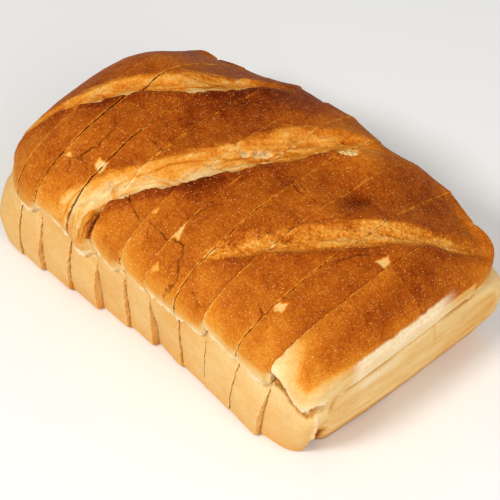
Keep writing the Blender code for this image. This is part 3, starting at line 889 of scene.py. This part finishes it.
# Fine shape and looks of the near end wall
def near_end_detail(p):
    y, z = p[..., 1], p[..., 2]
    along = rough(p * np.array([1.0, 0.25, 1.0]), 0.003, 3, 111)
    wide = rough(p, 0.015, 2, 112)

    # scars, seam with its cracks, upright crease, groove and fold
    scar = scar_share(y, z)
    lower = bell(z + 0.03 * y, 0.035, 0.0024, 4) * between(y, -0.034, -0.026, -0.012, -0.002)
    seam_z = SEAM_Z + 0.0006 * rough(p * np.array([1.0, 1.0, 0.1]), 0.008, 2, 113)
    shown = between(y, -0.04, -0.033, 0.042, 0.05)
    seam = bell(z, seam_z - 0.0008, 0.0008) * shown
    crack = bell(z, seam_z, 0.0005) * (bell(y, -0.016, 0.008, 4) + bell(y, 0.007, 0.005, 4))
    crack *= 0.6 + 0.6 * rough(p, 0.0016, 1, 114)
    crease = bell(y + 0.15 * (z - 0.036), 0.0115, 0.0005) * between(z, 0.024, 0.032, 0.039, 0.042)
    groove = bell(line_distance(y, z + 0.0008 * along, GROOVE), 0.0, 0.0011)
    fold = bell(y, FOLD_Y + 0.0004 - 0.2 * z, 0.0024, 4) * fade(z, 0.018, 0.038)
    height = 0.00022 * wide + 0.0001 * along + 0.0005 * scar + 0.0002 * lower
    height -= 0.0018 * seam + 0.0012 * limit(crack) + 0.00015 * crease + 0.001 * groove

    # tone: darker at the foot and along the creases, painted shade in the fold, the groove and the seam
    # under the lip, paler round the seam
    stains = rough(p * np.array([1.0, 0.4, 1.6]), 0.0048, 3, 123)
    tone = 0.27 + 0.07 * along + 0.04 * wide + 0.12 * fade(z, 0.002, 0.014)
    tone += 0.14 * groove + 0.12 * crease + 0.34 * seam + 0.5 * fold * fade(z, 0.012, 0.02)
    tone += 0.05 * ease(y, 0.012, 0.03)
    tone += 0.08 * ease(stains, 0.0, 0.8) * (1.0 - 0.7 * ease(z, 0.02, 0.038))
    for line in END_CREASES:
        fine = bell(line_distance(y, z + 0.0012 * along, line), 0.0, 0.0006)
        height -= 0.0005 * fine
        tone += 0.12 * fine * (0.7 + 0.5 * wide)
    tone += 0.3 * mound(y, z, 0.037, 0.043, 0.0014, 0.001) - 0.12 * shown * bell(z, seam_z, 0.005)

    # pale scars, and painted shade in the cracks, the fold, the groove and the seam
    patch = bell(y, 0.042, 0.004, 4) * bell(z, 0.04, 0.004, 4)
    pale = [scar * (0.76 + 0.3 * along), 0.8 * lower * (0.8 + 0.5 * along), 0.6 * patch]
    pale = limit(np.max(pale, axis=0))
    line = 0.45 * seam * limit(0.6 + 0.8 * along)
    # painted shade deep in the fold beside the flap
    deep = 0.98 * fold * fade(z, 0.01, 0.015)
    painted_shade = np.max([limit(0.95 * crack), deep, 0.12 * groove, line], axis=0)
    zero = np.zeros(y.shape)
    return height, dict(zip(LOOKS, (tone, painted_shade, pale, zero, zero, zero + 1.0)))


# Fine shape and looks of the far end wall
def far_end_detail(p):
    over = p[..., 2] - RIM_Z + layers(p, FAR_EDGE)
    crust = ease(over, -0.0004, 0.001)
    height = 0.00024 * rough(p, 0.015, 3, 112) + FAR_LEDGE * crust
    wall = WALL_TONE + layers(p, FAR_MOTTLE)
    tone = cover(wall, crust, np.interp(over, TONE_CLIMB, TONE))
    pale = 0.85 * crust * fade(over, 0.0014, 0.003)
    # painted shade under the crust's ledge
    painted_shade = 0.3 * bell(over, -0.0008, 0.0007)
    zero = np.zeros(over.shape)
    return height, dict(zip(LOOKS, (tone, painted_shade, pale, zero, zero, 1.0 - crust)))


# Places round the section, close together where the crust shows most
def ring_places(k):
    s = np.linspace(0.0, 2.0, 8001)
    section = piece_points(k, s, np.full(s.shape, 0.5))
    step = np.hypot(np.diff(section[1]), np.diff(section[2]))
    half = halves(0.5 * (s[1:] + s[:-1]))[1]
    spacing = np.interp(half, GRID_AT, GRID_STEP)
    grown = np.concatenate([[0.0], np.cumsum(step / spacing)])
    count = int(grown[-1])
    return np.interp(np.arange(count) / count * grown[-1], grown, s)


# Places along a piece, with extra ones beside each cut
def stations(k):
    u = np.linspace(0.0, 1.0, 801)
    line = piece_points(k, np.full(u.shape, STATION_AT), u)
    step = np.hypot(np.diff(line[0]), np.diff(line[2]))
    grown = np.concatenate([[0.0], np.cumsum(step)])
    length = grown[-1]
    places = list(np.linspace(0.0, length, int(length / STATION_STEP)))
    if k > 0:
        places += BESIDE_CUT
    if k < LAST:
        places += [length - beside for beside in BESIDE_CUT]
    return np.interp(np.array(sorted(places)), grown, u)


# Faces between two rounds of points
def round_faces(a, b, count, outward):
    j = np.arange(count)
    n = (j + 1) % count
    quad = np.stack([a + j, a + n, b + n, b + j], axis=1)
    return quad if outward else quad[:, ::-1]


# Faces between rounds of points laid out in rows
def grid_faces(first, rows, count, outward):
    starts = first + count * np.arange(rows - 1)
    return np.concatenate([round_faces(a, a + count, count, outward) for a in starts])


# Fine shape and looks of a cut face, with crust at its rim and crumb inside
def cut_detail(rows, looks):
    holes = ease(0.45 - pores(rows, 0.003, 121), 0.0, 0.3)
    height = 0.00012 * rough(rows, 0.0016, 2, 122) - 0.0003 * holes
    inside = CUT_CRUMB[:, None]
    tone = cover(looks["tone"] + 0.04, inside, 0.15)
    zero = np.zeros(height.shape)
    # the crumb's holes carry painted shade
    return height, dict(zip(LOOKS, (tone, 0.25 * holes * inside, zero, zero, zero + inside, zero)))


# Closes one end of a piece: a cut face, or the end wall of a heel
def end_cap(k, outline, looks, last):
    heel_wall = k == (LAST if last else 0)
    middle = outline.mean(axis=0)
    scales = CUT_ROUNDS
    if heel_wall:
        middle[2] = WALL_MIDDLE * outline[:, 2].max()
        scales = np.linspace(1.0, 0.0, WALL_ROUNDS + 1)[1:-1]
    rows = np.array([middle + (outline - middle) * scale for scale in scales])
    if heel_wall:
        rows[..., 0] = end_wall(k, rows[..., 1], rows[..., 2])
        middle[0] = end_wall(k, middle[1], middle[2])
        height, new = near_end_detail(rows) if last else far_end_detail(rows)
        share = limit((1.0 - scales) / WALL_BLEND)[:, None]
        new = {name: cover(looks[name], share, new[name]) for name in looks}
    else:
        height, new = cut_detail(rows, looks)
        share = (scales < 0.999)[:, None]
    rows[..., 0] += (1.0 if last else -1.0) * height * share
    points = np.concatenate([rows.reshape(-1, 3), middle[None, :]])
    values = {name: np.concatenate([new[name].ravel(), [new[name][-1].mean()]]) for name in new}
    return points, values, len(rows)


# One finely drawn piece: points, quads, triangles and looks
def fine_piece(k):
    ring = ring_places(k)
    u = stations(k)
    grid_ring, grid_u = np.meshgrid(ring, u)
    x, y, z, rim_z = piece_points(k, grid_ring, grid_u)
    base = np.stack([x, y, z], axis=-1)
    along = np.gradient(base, axis=0)
    around = np.roll(base, -1, axis=1) - np.roll(base, 1, axis=1)
    normal = np.cross(along, around)
    normal /= np.maximum(np.linalg.norm(normal, axis=-1, keepdims=True), 1e-12)
    height, jitter, drop, looks = crust_detail(k, grid_ring, grid_u, base, rim_z)
    points = base + normal * height[..., None]
    points[..., 0] += jitter
    points[..., 2] = np.maximum(points[..., 2] + drop, FLOOR_Z)
    rows, count = height.shape

    all_points = [points.reshape(-1, 3)]
    values = {name: [looks[name].ravel()] for name in looks}
    quads = [grid_faces(0, rows, count, True)]
    tris = []
    total = rows * count
    for row, last in ((0, False), (rows - 1, True)):
        edge = {name: looks[name][row] for name in looks}
        cap, cap_values, cap_rows = end_cap(k, points[row], edge, last)
        all_points.append(cap)
        for name in values:
            values[name].append(cap_values[name])
        quads.append(round_faces(row * count, total, count, last))
        quads.append(grid_faces(total, cap_rows, count, last))
        hub = total + cap_rows * count
        ids = np.arange(count)
        inner = hub - count
        tri = np.stack([inner + ids, inner + (ids + 1) % count, np.full(count, hub)], axis=1)
        tris.append(tri if last else tri[:, ::-1])
        total += len(cap)
    values = {name: np.concatenate(values[name]) for name in values}
    return np.concatenate(all_points), np.concatenate(quads), np.concatenate(tris), values


# Sets a colour or number on an input of a node
def put(node, name, value):
    node.inputs[name].default_value = value


# Linear colour from an eight-bit one
def colour(r, g, b):
    out = []
    for c in (r, g, b):
        c = c / 255.0
        out.append(c / 12.92 if c <= 0.04045 else ((c + 0.055) / 1.055) ** 2.4)
    return (*out, 1.0)


# Feeds a socket with a number, a colour or another node
def feed(tree, socket, value):
    if isinstance(value, (int, float, tuple)):
        socket.default_value = value
    else:
        tree.links.new(value, socket)


# New material and its shader
def new_material(name):
    material = bpy.data.materials.new(name)
    material.use_nodes = True
    return material, material.node_tree.nodes["Principled BSDF"]


# Ramp node with the given stops
def ramp_node(tree, source, stops):
    node = tree.nodes.new("ShaderNodeValToRGB")
    elements = node.color_ramp.elements
    while len(elements) < len(stops):
        elements.new(0.5)
    for element, (place, value) in zip(elements, stops):
        element.position = place
        element.color = colour(*value)
    tree.links.new(source, node.inputs["Fac"])
    return node.outputs["Color"]


# Arithmetic node
def maths(tree, operation, *values, clamp=False):
    node = tree.nodes.new("ShaderNodeMath")
    node.operation = operation
    node.use_clamp = clamp
    for socket, value in zip(node.inputs, values):
        feed(tree, socket, value)
    return node.outputs["Value"]


# Mix of two colours
def mix_colours(tree, factor, one, other):
    node = tree.nodes.new("ShaderNodeMix")
    node.data_type = "RGBA"
    for index, value in ((0, factor), (6, one), (7, other)):
        feed(tree, node.inputs[index], value)
    return node.outputs[2]


# Noise texture in object space
def noise_node(tree, place, scale, detail):
    node = tree.nodes.new("ShaderNodeTexNoise")
    put(node, "Scale", scale)
    put(node, "Detail", detail)
    tree.links.new(place, node.inputs["Vector"])
    return node.outputs["Fac"]


# Cell texture in object space: distance to the nearest point, and a number for each cell
def cell_node(tree, place, scale):
    node = tree.nodes.new("ShaderNodeTexVoronoi")
    put(node, "Scale", scale)
    tree.links.new(place, node.inputs["Vector"])
    return node.outputs["Distance"], node.outputs["Color"]


# Baked crust, torn crumb and cut crumb in one material
def bread_material():
    material, shader = new_material("bread")
    tree = material.node_tree
    place = tree.nodes.new("ShaderNodeTexCoord").outputs["Object"]
    look = {}
    for name in LOOKS:
        node = tree.nodes.new("ShaderNodeAttribute")
        node.attribute_name = name
        look[name] = node.outputs["Fac"]

    def add(*values, clamp=False):
        return maths(tree, "ADD", *values, clamp=clamp)

    def times(*values, clamp=False):
        return maths(tree, "MULTIPLY", *values, clamp=clamp)

    def sway_of(texture, share):
        return times(maths(tree, "SUBTRACT", texture, 0.5), share)

    # tone, swayed by mottling that is weaker on the smooth wall and stronger in torn grain
    mottle = noise_node(tree, place, MOTTLE_SCALE, 3.0)
    fine = noise_node(tree, place, FINE_SCALE, 3.0)
    tiny = noise_node(tree, place, TINY_SCALE, 2.0)
    crusty = maths(tree, "SUBTRACT", 1.0, look["smooth"])
    reach = maths(tree, "MULTIPLY_ADD", crusty, 1.0 - SMOOTH_SWAY, SMOOTH_SWAY)
    swing = times(add(sway_of(mottle, MOTTLE_SWAY), sway_of(fine, FINE_SWAY)), reach)
    swing = add(swing, sway_of(tiny, TINY_SWAY))
    rub = sway_of(fine, times(look["grain"], GRAIN_SWAY))
    tone = add(add(look["tone"], swing), rub, clamp=True)
    base = ramp_node(tree, tone, TONE_COLOURS)

    # pale specks of the baked crust, in three sizes
    for scale, size, share, strength in SPECKS:
        distance, number = cell_node(tree, place, scale)
        split = tree.nodes.new("ShaderNodeSeparateColor")
        tree.links.new(number, split.inputs["Color"])
        near = times(maths(tree, "SUBTRACT", size, distance), 1.0 / (SPECK_SOFT * size), clamp=True)
        chosen = maths(tree, "GREATER_THAN", split.outputs["Red"], 1.0 - share)
        amount = times(times(times(near, chosen), strength), crusty)
        base = mix_colours(tree, amount, base, colour(*SPECK_COLOUR))

    # pale and crumbly parts over it, then the painted shade of deep parts
    base = mix_colours(tree, look["pale"], base, ramp_node(tree, fine, PALE_COLOURS))
    base = mix_colours(tree, look["crumb"], base, ramp_node(tree, mottle, CRUMB_COLOURS))
    deep = times(look["painted_shade"], SHADE_SHARE, clamp=True)
    base = mix_colours(tree, deep, base, colour(*SHADE_COLOUR))
    tree.links.new(base, shader.inputs["Base Color"])

    # sheen of the baked top against the dull wall and crumb
    gloss = maths(tree, "MULTIPLY_ADD", look["tone"], ROUGH_TONE, ROUGHNESS)
    gloss = add(gloss, times(look["grain"], ROUGH_GRAIN))
    gloss = add(gloss, sway_of(fine, ROUGH_SWAY), clamp=True)
    tree.links.new(gloss, shader.inputs["Roughness"])
    put(shader, "Specular IOR Level", SHEEN)

    bump = tree.nodes.new("ShaderNodeBump")
    put(bump, "Strength", BUMP_STRENGTH)
    put(bump, "Distance", BUMP_DISTANCE)
    tree.links.new(add(times(tiny, 0.5), fine), bump.inputs["Height"])
    tree.links.new(bump.outputs["Normal"], shader.inputs["Normal"])
    return material


# Object in the scene
def add_object(name, data):
    new = bpy.data.objects.new(name, data)
    bpy.context.scene.collection.objects.link(new)
    return new


# Object made from points, faces and looks
def add_piece(name, points, quads, tris, values, material):
    mesh = bpy.data.meshes.new(name)
    mesh.from_pydata(points.tolist(), [], quads.tolist() + tris.tolist())
    for look in LOOKS:
        data = mesh.attributes.new(look, "FLOAT", "POINT").data
        data.foreach_set("value", values[look].astype(np.float32))
    mesh.materials.append(material)
    mesh.shade_smooth()
    mesh.set_sharp_from_angle(angle=math.radians(SHARP_ANGLE))
    return add_object(name, mesh)


# Plain pale surface for the floor
def floor_material():
    material, shader = new_material("floor")
    put(shader, "Base Color", (0.9, 0.9, 0.89, 1.0))
    put(shader, "Roughness", 0.9)
    put(shader, "Specular IOR Level", 0.1)
    return material


# Lamp or camera that looks along a given way
def add_aimed(name, data, place, way):
    holder = add_object(name, data)
    holder.location = place
    holder.rotation_mode = "QUATERNION"
    holder.rotation_quaternion = way.to_track_quat("-Z", "Y")
    return holder


# Soft lamp that points at the loaf
def add_lamp(name, place, size, power, tint):
    lamp = bpy.data.lights.new(name, "AREA")
    lamp.shape = "DISK"
    lamp.size = size
    lamp.energy = power
    lamp.color = tint
    add_aimed(name, lamp, place, AIM - Vector(place))


# All pieces, moved together so that their middle is the middle of the solids
built = [fine_piece(k) for k in range(LAST + 1)]
low = np.min([parts[0].min(axis=0) for parts in built], axis=0)
high = np.max([parts[0].max(axis=0) for parts in built], axis=0)
shift = np.mean(CAD_BOX, axis=0) - (low + high) / 2.0
shift[2] = -FLOOR_Z

bread = bread_material()
for name, (points, quads, tris, values) in zip(NAMES, built):
    piece = add_piece("crust_" + name, points + shift, quads, tris, values, bread)
    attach(piece, "root")
    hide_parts(name)

# Floor
bpy.ops.mesh.primitive_plane_add(size=6.0, location=(0.0, 0.0, -0.0002))
floor = bpy.context.object
floor.name = "floor"
floor.data.materials.append(floor_material())

# Light
scene = bpy.context.scene
scene.view_settings.view_transform = "Standard"
world = bpy.data.worlds.new("studio")
world.use_nodes = True
backdrop = world.node_tree.nodes["Background"]
put(backdrop, "Color", (1.0, 1.0, 1.0, 1.0))
put(backdrop, "Strength", WORLD_LIGHT)
scene.world = world
for lamp in LAMPS:
    add_lamp(*lamp)

# Camera
camera = bpy.data.cameras.new("camera")
camera.lens = CAMERA_LENS
camera.sensor_width = 36.0
camera.clip_start = 0.05
camera.clip_end = 20.0
turn, rise = math.radians(CAMERA_TURN), math.radians(CAMERA_RISE)
back = Vector((math.sin(turn) * math.cos(rise), -math.cos(turn) * math.cos(rise), math.sin(rise)))
scene.camera = add_aimed("camera", camera, AIM + back * CAMERA_DISTANCE, -back)
